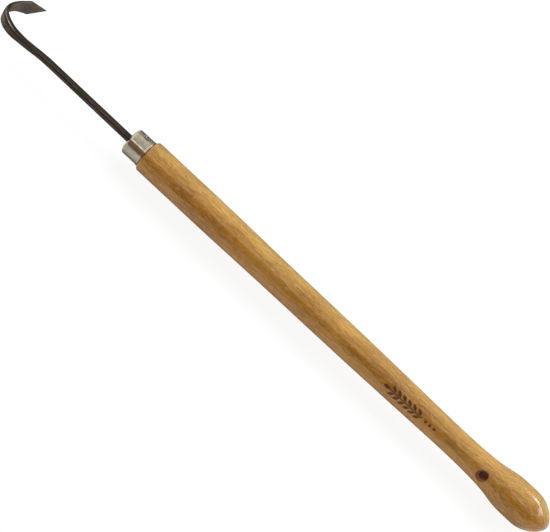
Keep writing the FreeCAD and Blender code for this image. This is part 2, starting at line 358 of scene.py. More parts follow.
def make_handle():
    radius_at = turned_radius()
    skin = Skin()
    patch_step = radius_at(0) * 2 * math.pi / HANDLE_SEGMENTS
    patch = [patch_step * i for i in range(-PATCH_COLUMNS, PATCH_COLUMNS + 1)]
    grip_end = SHOULDER_X - SHOULDER_ROUND
    xs = knob_places(radius_at, HANDLE_LOW.x, patch[0])[1:-1] + patch
    xs += even_steps(patch[-1], grip_end, GRIP_STEP)[1:-1]
    profile = [(x, radius_at(x)) for x in xs]
    grip_radius = radius_at(grip_end - 1)
    shoulder_r = grip_radius - SHOULDER_ROUND
    profile += quarter_round(grip_end, shoulder_r, SHOULDER_ROUND, SHOULDER_ROUND, SHOULDER_ROWS)
    inner_length, inner_height = CORNER_LENGTH - SHEET, CORNER_HEIGHT - SHEET
    corner_x = SPIGOT_END_X - inner_length
    spigot = [(x, SPIGOT_RADIUS) for x in even_steps(SHOULDER_X, corner_x, 2 * FERRULE_STEP)]
    spigot += quarter_round(corner_x, SPIGOT_RADIUS - inner_height, inner_length, inner_height, 10)[1:]
    hole_end = SPIGOT_END_X - TANG_HOLE_DEPTH
    profile += spigot
    profile += [(x, ROD_RADIUS) for x in even_steps(SPIGOT_END_X, hole_end, TANG_HOLE_STEP)]

    rings = []
    punched_from = len(xs) + SHOULDER_ROWS + 1
    punched_to = punched_from + len(spigot)
    for row, (x, radius) in enumerate(profile):
        points = []
        for i in range(HANDLE_SEGMENTS):
            angle = HOLE_ANGLE + 2 * math.pi * i / HANDLE_SEGMENTS
            reach = radius
            if punched_from <= row < punched_to:
                reach = punched(x, angle, radius, PUNCH_RADIUS + SHEET)
            points.append(Vector((x, 0, 0)) + around(angle) * reach)
        rings.append(skin.ring(points))
    first = xs.index(min(xs, key=abs)) - PATCH_COLUMNS
    half = HANDLE_SEGMENTS // 2
    open_columns = set()
    for middle in (0, half):
        for column in range(middle - PATCH_COLUMNS, middle + PATCH_COLUMNS):
            open_columns.add(column % HANDLE_SEGMENTS)
    for row in range(len(rings) - 1):
        in_patch = first <= row < first + 2 * PATCH_COLUMNS
        skin.bridge(rings[row], rings[row + 1], open_columns if in_patch else ())
    skin.bridge(skin.ring([(HANDLE_LOW.x, 0, 0)]), rings[0])
    skin.bridge(rings[-1], skin.ring([(hole_end - DRILL_POINT_HEIGHT, 0, 0)]))
    add_hanging_hole(skin, rings, xs, radius_at)
    return skin.build("turned_handle", 40)


# ---------------------------------------------------------------- ferrule

def flare_profile(start_r, end_r, count):
    """S-shaped step at the back of the ferrule, from the rim forwards."""
    start_x = FERRULE_LOW.x + RIM_ROUND
    rows = []
    for i in range(count + 1):
        share = i / count
        rise = share * share * (3 - 2 * share)
        rows.append((start_x + (FLARE_LENGTH - RIM_ROUND) * share, start_r + (end_r - start_r) * rise))
    return rows


def make_ferrule():
    rim_r = FERRULE_RADIUS + FLARE_STEP
    corner_x = FERRULE_HIGH.x - CORNER_LENGTH
    inner_length, inner_height = CORNER_LENGTH - SHEET, CORNER_HEIGHT - SHEET
    inner_corner_x = SPIGOT_END_X - inner_length
    corner_r = FERRULE_RADIUS - CORNER_HEIGHT
    inner_corner_r = SPIGOT_RADIUS - inner_height
    outside = []
    for i in range(RIM_ROWS + 1):
        turn = math.pi / 2 * i / RIM_ROWS
        outside.append((
            FERRULE_LOW.x + RIM_ROUND * (1 - math.sin(turn)),
            rim_r - RIM_ROUND * (1 - math.cos(turn)),
        ))
    outside.reverse()
    outside += flare_profile(rim_r, FERRULE_RADIUS, 10)[1:]
    side_xs = even_steps(FERRULE_LOW.x + FLARE_LENGTH, corner_x, FERRULE_STEP)
    outside += [(x, FERRULE_RADIUS) for x in side_xs[1:]]
    outside += quarter_round(corner_x, corner_r, CORNER_LENGTH, CORNER_HEIGHT, 24)[1:]
    outside += [(FERRULE_HIGH.x, r) for r in even_steps(corner_r, SHANK_HOLE_RADIUS, FACE_STEP)[1:]]
    inside = [(SPIGOT_END_X, r) for r in even_steps(SHANK_HOLE_RADIUS, inner_corner_r, FACE_STEP)]
    inside += quarter_round(inner_corner_x, inner_corner_r, inner_length, inner_height, 16)[-2::-1]
    inside += [(x, SPIGOT_RADIUS) for x in even_steps(inner_corner_x, FERRULE_LOW.x, 2 * FERRULE_STEP)][1:]

    skin = Skin()
    rings = []
    for profile, punch_radius in ((outside, PUNCH_RADIUS), (inside, PUNCH_RADIUS + SHEET)):
        for x, radius in profile:
            points = []
            for i in range(FERRULE_SEGMENTS):
                angle = 2 * math.pi * i / FERRULE_SEGMENTS
                reach = radius
                if abs(x - DIMPLE_X) < PUNCH_RADIUS:
                    reach = punched(x, angle, radius, punch_radius)
                points.append(Vector((x, 0, 0)) + around(angle) * reach)
            rings.append(skin.ring(points))
    for one, two in zip(rings, rings[1:] + rings[:1]):
        skin.bridge(one, two)
    return skin.build("crimped_ferrule", 40)


# ---------------------------------------------------------------- hook

def bar_frame(distance):
    """Centre of the bent bar and its heading in radians, at a distance past the first bend."""
    lean = math.radians(SHANK_LEAN)
    shank_length = (BEND_START_X - SPIGOT_END_X) / math.cos(lean) + min(distance, 0)
    point = Vector((SPIGOT_END_X, 0, 0)) + Vector((math.cos(lean), -math.sin(lean), 0)) * shank_length
    heading = lean
    for length, turn in BENDS:
        step = min(length, distance)
        if step <= 0:
            break
        half_turn = math.radians(turn) * step / length / 2
        chord = step * math.sin(half_turn) / half_turn
        towards = heading + half_turn
        point += Vector((math.cos(towards), -math.sin(towards), 0)) * chord
        heading += 2 * half_turn
        distance -= step
    return point, heading


def smooth_through(places, values, wanted):
    """Value at a wanted place on a smooth curve through points."""
    slopes = np.diff(values) / np.diff(places)
    middle = (values[2:] - values[:-2]) / (places[2:] - places[:-2])
    tangents = np.concatenate([slopes[:1], middle, slopes[-1:]])
    i = min(max(int(np.searchsorted(places, wanted)) - 1, 0), len(places) - 2)
    step = places[i + 1] - places[i]
    t = (wanted - places[i]) / step
    return (
        values[i] * (1 + 2 * t) * (1 - t) ** 2
        + values[i + 1] * t * t * (3 - 2 * t)
        + step * tangents[i] * t * (1 - t) ** 2
        - step * tangents[i + 1] * t * t * (1 - t)
    )


def bar_size(from_tip):
    """Width, thickness and squareness of the bar at a distance from the tip."""
    rows = np.array(BAR_SECTIONS[::-1])
    if from_tip <= LEAF_START:
        share = from_tip / LEAF_START
        return tuple(rows[0, 1:] + (rows[1, 1:] - rows[0, 1:]) * share)
    rows = rows[1:]
    return tuple(smooth_through(rows[:, 0], rows[:, k], from_tip) for k in (1, 2, 3))


def quarter_outline(width, thickness, squareness):
    """A quarter of a superellipse as (across, through) pairs, from the middle of its broad face."""
    def at(turn):
        across = math.cos(turn) ** (2 / squareness) if turn < math.pi / 2 else 0.0
        return across * width / 2, math.sin(turn) ** (2 / squareness) * thickness / 2

    def steps(low, high, count):
        """Points an even length apart, from one turn to another."""
        turns = np.linspace(low, high, 160)
        line = np.array([at(t) for t in turns])
        lengths = np.concatenate([[0], np.cumsum(np.hypot(*np.diff(line, axis=0).T))])
        return [at(t) for t in np.interp(np.linspace(0, lengths[-1], count + 1), lengths, turns)]

    foot = min(BEVEL_WIDTH, width * 0.3)
    foot_turn = math.acos(((width / 2 - foot) / (width / 2)) ** (squareness / 2))
    return steps(math.pi / 2, foot_turn, FLAT_POINTS) + steps(foot_turn, 0.0, BEVEL_POINTS)[1:]


def rounded_bar(width, thickness, squareness, bevel=0.0, hammered=None):
    """Outline of a bar section as (across, through) pairs.

    Bevel is how much of the ground bevel there is, from 0 to 1, and hammered is the squareness of
    the outer corner on the +Z side where it isn't that of the others.
    """
    quarter = quarter_outline(width, thickness, squareness)
    slope = (thickness - EDGE_THICKNESS) / BEVEL_WIDTH
    inner = []
    for across, through in quarter:
        limit = thickness / 2 - slope * (across - (width / 2 - BEVEL_WIDTH))
        inner.append((across, through + (min(through, limit) - through) * bevel))
    outer = [(across, -through) for across, through in quarter]
    corner = outer
    if hammered:
        corner = [(across, -through) for across, through in quarter_outline(width, thickness, hammered)]
    plus_side = inner[:-1] + corner[::-1]
    minus_side = [(-across, through) for across, through in inner[:-1] + outer[::-1]]
    return plus_side + minus_side[-2:0:-1]


def bar_ring(point, heading, section, skew=0.0, dent=0.0):
    """Ring of points for a bar section, with shallow hammer dents up to the given depth."""
    forward = Vector((math.cos(heading), -math.sin(heading), 0))
    inward = Vector((-math.sin(heading), -math.cos(heading), 0))
    width_axis = Vector((0, 0, math.cos(skew))) - forward * math.sin(skew)
    ring = []
    for across, through in section:
        place = point + width_axis * across + inward * through
        depth = dent * noise.noise(place / DENT_SIZE)
        ring.append(place + (place - point).normalized() * depth)
    return ring


def make_hook():
    skin = Skin()
    rings = []
    rod = 2 * ROD_RADIUS
    square_x = SHOULDER_X - TANG_ROUND_LENGTH
    square_width = rod / 2 ** (0.5 - 1 / TANG_SQUARENESS)
    tang = [
        (square_x - TANG_TAPER_LENGTH, TANG_POINT_WIDTH, TANG_SQUARENESS),
        (square_x - rod, square_width, TANG_SQUARENESS),
        (square_x, rod, 2.0),
    ]
    for (x0, width0, square0), (x1, width1, square1) in zip(tang, tang[1:]):
        for x in even_steps(x0, x1, TANG_STEP)[:-1]:
            share = (x - x0) / (x1 - x0)
            width = width0 + (width1 - width0) * share
            section = rounded_bar(width, width, square0 + (square1 - square0) * share)
            rings.append(skin.ring(bar_ring(Vector((x, 0, 0)), 0, section)))
    round_section = rounded_bar(rod, rod, 2.0)
    for x in even_steps(square_x, SPIGOT_END_X, TANG_STEP)[:-1]:
        rings.append(skin.ring(bar_ring(Vector((x, 0, 0)), 0, round_section)))
    shank = (BEND_START_X - SPIGOT_END_X) / math.cos(math.radians(SHANK_LEAN))
    for distance in even_steps(-shank, 0, BAR_STEP)[:-1]:
        point, heading = bar_frame(distance)
        rings.append(skin.ring(bar_ring(point, heading, round_section)))
    places = even_steps(BAR_LENGTH, LEAF_START, BAR_STEP)[:-1] + even_steps(LEAF_START, 0, BAR_STEP)
    for from_tip in places:
        point, heading = bar_frame(BAR_LENGTH - from_tip)
        skew = math.radians(LEAF_SKEW) * min(max((SKEW_START - from_tip) / SKEW_LENGTH, 0), 1)
        bevel = min(max((LEAF_START - from_tip) / BEVEL_RUN_OUT + 1, 0), 1)
        width, thickness, squareness = bar_size(from_tip)
        section = rounded_bar(width, thickness, squareness, bevel, min(squareness, HAMMERED_SQUARENESS))
        dent = DENT_DEPTH * min((BAR_LENGTH - from_tip) / DENT_ONSET, 1)
        rings.append(skin.ring(bar_ring(point, heading, section, skew, dent)))
    for one, two in zip(rings, rings[1:]):
        skin.bridge(one, two)
    for end in (rings[0], rings[-1]):
        middle = sum((Vector(skin.points[i]) for i in end), Vector()) / len(end)
        skin.bridge(end, skin.ring([middle]))
    return skin.build("forged_hook", 35)


# ---------------------------------------------------------------- materials

class Graph:
    """Short way to wire a node tree. Positions are the piece's own coordinates in millimetres."""

    def __init__(self, tree):
        self.tree = tree

    def node(self, kind, settings=None, **inputs):
        made = self.tree.nodes.new(kind)
        for key, value in (settings or {}).items():
            setattr(made, key, value)
        for key, value in inputs.items():
            self.feed(made.inputs[key.replace("_", " ")], value)
        return made

    def feed(self, socket, value):
        if isinstance(value, bpy.types.NodeSocket):
            self.tree.links.new(value, socket)
        else:
            socket.default_value = value

    def math(self, operation, *values, clamp=False):
        made = self.node("ShaderNodeMath", {"operation": operation, "use_clamp": clamp})
        for socket, value in zip(made.inputs, values):
            self.feed(socket, value)
        return made.outputs[0]

    def product(self, first, *others):
        for other in others:
            first = self.math("MULTIPLY", first, other)
        return first

    def position(self):
        source = self.node("ShaderNodeTexCoord").outputs["Object"]
        return self.stretch(source, (1 / MM, 1 / MM, 1 / MM))

    def stretch(self, vector, scale, shift=(0, 0, 0)):
        made = self.node("ShaderNodeMapping", {"vector_type": "POINT"}, Vector=vector)
        made.inputs["Scale"].default_value = scale
        made.inputs["Location"].default_value = shift
        return made.outputs[0]

    def noise(self, vector, detail=2.0, roughness=0.5, colour=False):
        """Noise between 0 and 1, about one bump per millimetre, or three of them as a colour."""
        made = self.node("ShaderNodeTexNoise", None, Vector=vector, Scale=1.0, Detail=detail)
        self.feed(made.inputs["Roughness"], roughness)
        return made.outputs["Color" if colour else "Fac"]

    def between(self, value, low, high, out_low=0.0, out_high=1.0):
        """Carries a value's range over to another one, clamped."""
        made = self.node("ShaderNodeMapRange", {"clamp": True}, Value=value)
        made.inputs["From Min"].default_value = low
        made.inputs["From Max"].default_value = high
        made.inputs["To Min"].default_value = out_low
        made.inputs["To Max"].default_value = out_high
        return made.outputs[0]

    def ramp(self, value, stops):
        made = self.node("ShaderNodeValToRGB", None, Fac=value)
        elements = made.color_ramp.elements
        while len(elements) < len(stops):
            elements.new(1.0)
        for element, (place, colour) in zip(elements, stops):
            element.position = place
            element.color = (*colour, 1)
        return made.outputs[0]

    def mix(self, share, one, two, blend="MIX"):
        made = self.node("ShaderNodeMix", {"data_type": "RGBA", "blend_type": blend})
        self.feed(made.inputs[0], share)
        for socket, value in ((made.inputs[6], one), (made.inputs[7], two)):
            self.feed(socket, (*value, 1) if isinstance(value, tuple) else value)
        return made.outputs[2]

    def mix_value(self, share, one, two):
        made = self.node("ShaderNodeMix", {"data_type": "FLOAT"})
        for socket, value in ((made.inputs[0], share), (made.inputs[2], one), (made.inputs[3], two)):
            self.feed(socket, value)
        return made.outputs[0]

    def bump(self, height):
        """Bump from a height in millimetres."""
        return self.node("ShaderNodeBump", None, Height=height, Strength=1.0, Distance=MM).outputs[0]

    def vector(self, operation, one, other=None):
        """Vector arithmetic; a length comes out as a number."""
        made = self.node("ShaderNodeVectorMath", {"operation": operation})
        self.feed(made.inputs[0], one)
        if other is not None:
            self.feed(made.inputs[1], other)
        return made.outputs["Value" if operation == "LENGTH" else "Vector"]

    def dot(self, vector, other):
        made = self.node("ShaderNodeVectorMath", {"operation": "DOT_PRODUCT"})
        self.feed(made.inputs[0], vector)
        self.feed(made.inputs[1], other)
        return made.outputs["Value"]

    def split(self, vector):
        return self.node("ShaderNodeSeparateXYZ", None, Vector=vector).outputs


def new_material(name):
    material = bpy.data.materials.new(name)
    material.use_nodes = True
    material.node_tree.nodes.clear()
    graph = Graph(material.node_tree)
    shader = graph.node("ShaderNodeBsdfPrincipled")
    graph.node("ShaderNodeOutputMaterial", None, Surface=shader.outputs[0])
    return material, graph, shader


def srgb(red, green, blue):
    """Linear colour from the usual 0 to 255 values."""
    shares = [value / 255 for value in (red, green, blue)]
    return tuple(((s + 0.055) / 1.055) ** 2.4 if s > 0.04 else s / 12.92 for s in shares)


def distance_from_line(g, place, direction):
    """Distance in millimetres from a line through the origin; the direction is a unit vector."""
    along = g.dot(place, direction)
    squared = g.math("SUBTRACT", g.dot(place, place), g.product(along, along))
    return g.math("SQRT", g.math("MAXIMUM", squared, 0.0))


def sprig(g, place):
    """Height in millimetres inside a burned sprig of leaves and a row of lozenges, negative outside it."""
    x, y, z = g.split(place)
    angle = g.math("SUBTRACT", g.math("ARCTAN2", z, y), MARK_ANGLE)
    aside = g.math("ABSOLUTE", g.math("MULTIPLY", angle, MARK_RADIUS))

    def cells(start, pitch):
        """Place along X from the middle of the nearest cell of a row."""
        share = g.math("FRACT", g.math("DIVIDE", g.math("SUBTRACT", x, start), pitch))
        return g.math("MULTIPLY", g.math("SUBTRACT", share, 0.5), pitch)

    def within(start, end):
        middle, half = (start + end) / 2, (end - start) / 2
        return g.math("SUBTRACT", half, g.math("ABSOLUTE", g.math("SUBTRACT", x, middle)))

    def leaf(along, across, length, width):
        """A pointed leaf: its half width falls off as a parabola towards both ends."""
        share = g.math("DIVIDE", along, length)
        edge = g.math("MULTIPLY", g.math("SUBTRACT", 1.0, g.math("MULTIPLY", share, share)), width)
        return g.math("SUBTRACT", edge, g.math("ABSOLUTE", across))

    along = cells(STEM_START, LEAF_PITCH)
    rise = g.math("SUBTRACT", aside, LEAF_OFFSET)
    lean_cos, lean_sin = math.cos(LEAF_LEAN), math.sin(LEAF_LEAN)
    turned = g.math("ADD", g.math("MULTIPLY", along, lean_cos), g.math("MULTIPLY", rise, lean_sin))
    squared = g.math("SUBTRACT", g.math("MULTIPLY", rise, lean_cos), g.math("MULTIPLY", along, lean_sin))
    leaves = g.math("MINIMUM", leaf(turned, squared, 2.9, 1.3), within(STEM_START, STEM_END))
    stem = g.math("MINIMUM", g.math("SUBTRACT", 0.45, aside), within(STEM_START - 1.5, STEM_END + 1.5))
    bud = leaf(g.math("SUBTRACT", x, STEM_END + 3.2), aside, 3.0, 1.5)
    lozenge = g.math("SUBTRACT", 1.5, g.math("ADD", g.math("ABSOLUTE", cells(ROW_START, ROW_PITCH)), aside))
    row = g.math("MINIMUM", lozenge, within(ROW_START, ROW_START + 3 * ROW_PITCH))
    height = g.math("MAXIMUM", g.math("MAXIMUM", leaves, stem), g.math("MAXIMUM", bud, row))
    facing = g.math("SUBTRACT", 7.0, aside)
    return g.math("MINIMUM", height, facing)


def varnished_ash():
    """Flat-sawn ash under a clear gloss varnish; its colour changes from one side to the other, partly as
    painted light and shade.
    """
    material, g, shader = new_material("varnished_ash")
    place = g.position()

    # The grain wanders a little from side to side along the stick.
    sway = g.noise(g.stretch(place, (0.02, 0.04, 0.04)), detail=2.0, colour=True)
    sway = g.vector("SUBTRACT", sway, (0.5, 0.5, 0.5))
    grain = g.vector("ADD", place, g.vector("MULTIPLY", sway, (0.0, GRAIN_SWAY, GRAIN_SWAY)))

    # Growth rings are shells around a pith that lies behind the stick, seen from its show side.
    pith = around(PITH_ANGLE) * -PITH_DEPTH
    away = g.vector("LENGTH", g.vector("MULTIPLY", g.vector("SUBTRACT", grain, pith), (0.0, 1.0, 1.0)))
    x, y, z = g.split(place)
    drift = g.noise(g.stretch(place, (0.008, 0.0, 0.0)), detail=2.0)
    away = g.math("ADD", away, g.math("MULTIPLY", drift, 9.0))
    ring = g.math("FRACT", g.math("DIVIDE", away, RING_PITCH))
    early = g.ramp(ring, ((0.0, (0.3,) * 3), (0.08, (1.0,) * 3), (0.3, (0.5,) * 3), (0.65, (0.0,) * 3),
                          (0.95, (0.05,) * 3), (1.0, (0.3,) * 3)))

    cloud = g.noise(g.stretch(grain, (0.015, 0.09, 0.09)), detail=3.0, roughness=0.6)
    patch = g.noise(g.stretch(place, (0.035, 0.04, 0.04), (3, 0, 0)), detail=2.0, roughness=0.5)
    streak = g.noise(g.stretch(grain, (0.04, 0.34, 0.34)), detail=4.0, roughness=0.65)
    fibre = g.noise(g.stretch(grain, (0.09, 1.3, 1.3)), detail=4.0, roughness=0.7)
    fleck = g.between(g.noise(g.stretch(grain, (0.22, 1.6, 1.6), (7, 0, 0)), detail=2.0), 0.53, 0.66)
    pore = g.between(g.noise(g.stretch(grain, (0.16, 3.0, 3.0)), detail=1.0), 0.52, 0.66)
    pore = g.math("MULTIPLY", pore, g.math("ADD", g.math("MULTIPLY", early, 0.75), 0.25))

    # The base colour across the stick, along SIDEWAYS, is partly the wood's own colour and partly painted
    # light and shade: redder orange brown on the -SIDEWAYS side, a less red yellow brown on the +SIDEWAYS
    # side, and painted darker towards both edges.
    side = g.between(g.dot(place, SIDEWAYS), -13.0, 13.0)
    base = g.ramp(side, ((0.02, srgb(149, 101, 20)), (0.14, srgb(190, 125, 19)), (0.26, srgb(196, 132, 23)),
                         (0.38, srgb(183, 120, 27)), (0.5, srgb(163, 104, 20)), (0.62, srgb(157, 106, 24)),
                         (0.74, srgb(163, 123, 43)), (0.86, srgb(165, 136, 60)), (0.98, srgb(145, 126, 58))))
    # Painted light: from the butt end up to x = 90 mm, the +SIDEWAYS side of the stick is painted paler.
    butt = g.math("MULTIPLY", g.between(x, 90.0, 25.0, 0.0, 0.3), g.between(x, -45.0, 5.0, 0.4, 1.0))
    base = g.mix(g.math("MULTIPLY", butt, g.between(side, 0.4, 0.55)), base, srgb(204, 160, 88))
    base = g.mix(g.between(patch, 0.48, 0.68, 0.0, 0.4), base, srgb(206, 158, 68))
    base = g.mix(g.between(patch, 0.52, 0.32, 0.0, 0.35), base, srgb(134, 84, 22))
    base = g.mix(g.between(cloud, 0.35, 0.7, 0.0, 0.5), base, srgb(188, 144, 62))
    base = g.mix(g.between(cloud, 0.5, 0.25, 0.0, 0.4), base, srgb(140, 88, 24))
    base = g.mix(g.math("MULTIPLY", early, 0.32), base, srgb(132, 84, 26))
    base = g.mix(g.between(streak, 0.5, 0.3, 0.0, 0.4), base, srgb(132, 82, 24))
    base = g.mix(g.between(streak, 0.5, 0.7, 0.0, 0.4), base, srgb(204, 163, 84))
    base = g.mix(g.between(fibre, 0.35, 0.65, 0.4, 0.0), base, srgb(134, 84, 28))
    base = g.mix(g.math("MULTIPLY", fleck, 0.4), base, srgb(214, 174, 108))
    base = g.mix(g.math("MULTIPLY", pore, 0.6), base, srgb(92, 54, 18))

    # The bare bore is dark, and its mouth is painted darker brown in a crescent, off towards +X and
    # -SIDEWAYS.
    reach = distance_from_line(g, place, HOLE_AXIS)
    bore = g.between(reach, HOLE_RADIUS + 0.35, HOLE_RADIUS + 0.1)
    crescent_place = g.vector("SUBTRACT", place, Vector((1.1, 0, 0)) - SIDEWAYS * 1.1)
    crescent_reach = distance_from_line(g, crescent_place, HOLE_AXIS)
    crescent = g.between(crescent_reach, HOLE_RADIUS + MOUTH_ROUND + 0.5, HOLE_RADIUS + 0.6)
    base = g.mix(g.math("MULTIPLY", crescent, 0.9), base, srgb(104, 60, 28))
    base = g.mix(bore, base, srgb(170, 110, 84))

    # The burned mark, with a scorched edge.
    ragged = g.math("MULTIPLY", g.math("SUBTRACT", fibre, 0.5), 0.5)
    mark = g.math("ADD", sprig(g, place), ragged)
    scorch = g.between(mark, -0.5, 0.2, 0.0, 0.5)
    burned = g.between(mark, -0.15, 0.2)
    base = g.mix(scorch, base, srgb(118, 72, 30))
    base = g.mix(g.math("MULTIPLY", burned, 0.9), base, srgb(84, 48, 30))
    g.feed(shader.inputs["Base Color"], base)

    relief = g.math("SUBTRACT", g.math("MULTIPLY", fibre, 0.06), g.math("MULTIPLY", pore, 0.06))
    relief = g.math("SUBTRACT", relief, g.math("MULTIPLY", burned, 0.25))
    swell = g.noise(g.stretch(grain, (0.035, 0.16, 0.16)), detail=3.0, roughness=0.55)
    lacquer = g.math("ADD", g.math("MULTIPLY", swell, 0.5), g.math("MULTIPLY", relief, 0.25))
    g.feed(shader.inputs["Normal"], g.bump(relief))
    g.feed(shader.inputs["Coat Normal"], g.bump(lacquer))
    wear_and_sheen = g.noise(g.stretch(place, (0.05, 0.25, 0.25)), detail=3.0)
    g.feed(shader.inputs["Coat Roughness"], g.between(wear_and_sheen, 0.3, 0.75, 0.03, 0.12))
    dull = g.math("MAXIMUM", bore, g.math("MULTIPLY", burned, 0.6))
    dull = g.math("MAXIMUM", g.math("MULTIPLY", crescent, 0.7), dull)
    g.feed(shader.inputs["Coat Weight"], g.math("SUBTRACT", 1.0, dull))
    shader.inputs["Coat IOR"].default_value = 1.45
    g.feed(shader.inputs["Roughness"], g.between(fibre, 0.3, 0.7, 0.45, 0.6))
    shader.inputs["Specular IOR Level"].default_value = 0.1
    return material


def plated_steel():
    """Dull bright plating with fine drawing lines, small pits, and a darker ring in the dimples that is
    partly grime and partly painted shade.
    """
    material, g, shader = new_material("plated_steel")
    place = g.position()
    cloud = g.noise(g.stretch(place, (0.3, 0.6, 0.6)), detail=4.0, roughness=0.65)
    drawn = g.noise(g.stretch(place, (0.3, 5.0, 5.0)), detail=2.0)
    pits = g.between(g.noise(g.stretch(place, (1.7, 1.7, 1.7)), detail=2.0), 0.66, 0.74)
    tone = g.mix(g.between(cloud, 0.36, 0.64), (0.335, 0.3, 0.242), (0.465, 0.415, 0.332))
    tone = g.mix(g.math("MULTIPLY", pits, 0.3), tone, (0.2, 0.17, 0.13))

    # A darker ring is painted inside each punched dimple, partly grime and partly painted shade of the
    # dimple's wall; both dimples lie on one line across the ferrule.
    across = g.vector("SUBTRACT", place, (DIMPLE_X - 0.8, 0.0, 0.0))
    reach = distance_from_line(g, across, around(math.radians(DIMPLE_ANGLES[0])))
    grime_and_shade = g.product(g.between(reach, 0.8, 1.3), g.between(reach, 3.4, 2.6))
    tone = g.mix(g.math("MULTIPLY", grime_and_shade, 0.8), tone, (0.1, 0.085, 0.068))
    g.feed(shader.inputs["Base Color"], tone)
    shader.inputs["Metallic"].default_value = 1.0
    rough = g.between(g.math("ADD", cloud, g.math("MULTIPLY", drawn, 0.4)), 0.4, 1.0, 0.07, 0.17)
    soiled = g.product(g.between(reach, 4.4, 3.4, 0.0, 0.25), g.between(reach, 0.8, 1.4, 0.2, 1.0))
    g.feed(shader.inputs["Roughness"], g.math("ADD", rough, soiled))
    height = g.math("SUBTRACT", g.math("MULTIPLY", drawn, 0.005), g.math("MULTIPLY", pits, 0.02))
    g.feed(shader.inputs["Normal"], g.bump(height))
    return material


def forged_steel():
    """Oiled forging scale, with light and shade painted in: the narrow faces and some rounded corners
    painted near black, the bend paler grey brown, and bright lines painted along a worn corner and the
    leaf's edge.
    """
    material, g, shader = new_material("forged_steel")
    place = g.position()
    x, y, z = g.split(place)
    patch = g.noise(g.stretch(place, (0.12, 0.2, 0.2)), detail=4.0, roughness=0.6)
    scale = g.noise(g.stretch(place, (0.8, 1.1, 1.1)), detail=5.0, roughness=0.65)
    drawn = g.noise(g.stretch(place, (0.08, 1.6, 1.6)), detail=2.0)

    # How far the surface faces along Z: the narrow faces of the flattened bar do.
    normal = g.node("ShaderNodeNewGeometry").outputs["Normal"]
    facing = g.math("ABSOLUTE", g.split(normal)[2])

    # Stretches of the bar: where it flattens, where it bends, the crown of the bend, and the leaf.
    flattened = g.between(x, BEND_START_X + 8.0, BEND_START_X + 38.0)
    bent = g.between(x, BEND_START_X + 37.0, BEND_START_X + 49.0)
    crown = g.product(g.between(x, BEND_START_X + 49.0, BEND_START_X + 52.5), g.between(y, -8.0, -4.0))
    leaf = g.between(y, -7.0, -13.0)

    # Painted light and shade: narrow faces painted dark, a bright line along a worn corner, a pale line
    # along the leaf's edge, rounded corners and a band under the leaf's top edge painted dark, and a paler
    # patch on the leaf's root.
    narrow = g.mix_value(leaf, g.between(facing, 0.88, 0.97), g.between(facing, 0.35, 0.6))
    narrow = g.product(narrow, g.between(y, -30.5, -27.5))
    worn_highlight = g.product(g.between(facing, 0.62, 0.8), g.between(facing, 0.97, 0.92), bent,
                     g.between(y, -2.0, 1.2))
    edge_glint = g.product(g.between(z, 5.4, 6.2), g.between(y, -19.0, -26.0), g.between(y, -31.0, -28.5),
                     g.between(facing, 0.5, 0.3))
    corner_shade = g.product(g.between(facing, 0.1, 0.26), g.between(facing, 0.62, 0.48), flattened,
                       g.between(leaf, 1.0, 0.0))
    top_edge_shade = g.between(g.math("SUBTRACT", z, g.between(y, -12.0, -24.0, 2.4, 6.2)), 0.0, 1.2)
    top_edge_shade = g.product(top_edge_shade, leaf, g.between(y, -28.0, -24.0))
    wear_and_sheen = g.product(g.between(y, -7.0, -13.0), g.between(y, -26.0, -15.0))

    # Grinding lines run along the leaf.
    along = g.dot(place, Vector((-math.sin(LEAF_HEADING), -math.cos(LEAF_HEADING), 0)))
    lines = g.node("ShaderNodeCombineXYZ", None, X=g.product(along, 0.12), Y=g.product(z, 1.5))
    ground = g.noise(lines.outputs[0], detail=3.0, roughness=0.6)

    # Painted shade: the straight bar's faces that turn towards +SIDEWAYS are painted darker.
    shaded_side = g.between(g.dot(normal, SIDEWAYS), 0.05, 0.45, 0.0, 0.5)

    patchy = g.between(patch, 0.35, 0.65)
    tone = g.mix(patchy, (0.05, 0.042, 0.036), (0.062, 0.045, 0.033))
    # Painted reflection: the bend is painted a paler grey brown.
    tone = g.mix(bent, tone, g.mix(patchy, (0.07, 0.063, 0.058), (0.11, 0.092, 0.078)))
    tone = g.mix(g.between(drawn, 0.5, 0.68, 0.0, 0.7), tone, (0.13, 0.117, 0.107))
    tone = g.mix(g.between(drawn, 0.5, 0.36, 0.0, 0.6), tone, (0.03, 0.024, 0.02))
    # Painted shade on the straight bar's +SIDEWAYS side.
    tone = g.mix(g.math("MULTIPLY", shaded_side, g.between(flattened, 1.0, 0.0)), tone, (0.03, 0.024, 0.02))
    tone = g.mix(leaf, tone, (0.08, 0.069, 0.061))
    tone = g.mix(g.math("MULTIPLY", leaf, g.between(y, -28.0, -33.0, 0.0, 0.6)), tone, (0.13, 0.098, 0.074))
    tone = g.mix(g.product(leaf, g.between(ground, 0.48, 0.68, 0.0, 0.7)), tone, (0.16, 0.138, 0.122))
    tone = g.mix(g.product(leaf, g.between(ground, 0.5, 0.34, 0.0, 0.6)), tone, (0.045, 0.036, 0.03))
    # Painted highlight: a paler patch on the leaf's root, where it leaves the bend.
    tone = g.mix(g.math("MULTIPLY", wear_and_sheen, 0.75), tone, (0.22, 0.19, 0.16))
    # Painted highlight: the crown of the bend is painted paler.
    tone = g.mix(g.math("MULTIPLY", crown, 0.7), tone, (0.25, 0.215, 0.19))
    # Painted highlight: a pale line along the leaf's +Z edge.
    tone = g.mix(g.math("MULTIPLY", edge_glint, 0.7), tone, (0.25, 0.215, 0.19))
    # Painted shade: the rounded corners of the flattened bar and a band along the leaf's +Z edge are painted
    # near black.
    tone = g.mix(g.math("MULTIPLY", g.math("MAXIMUM", corner_shade, top_edge_shade), 0.65), tone, (0.028, 0.022, 0.018))
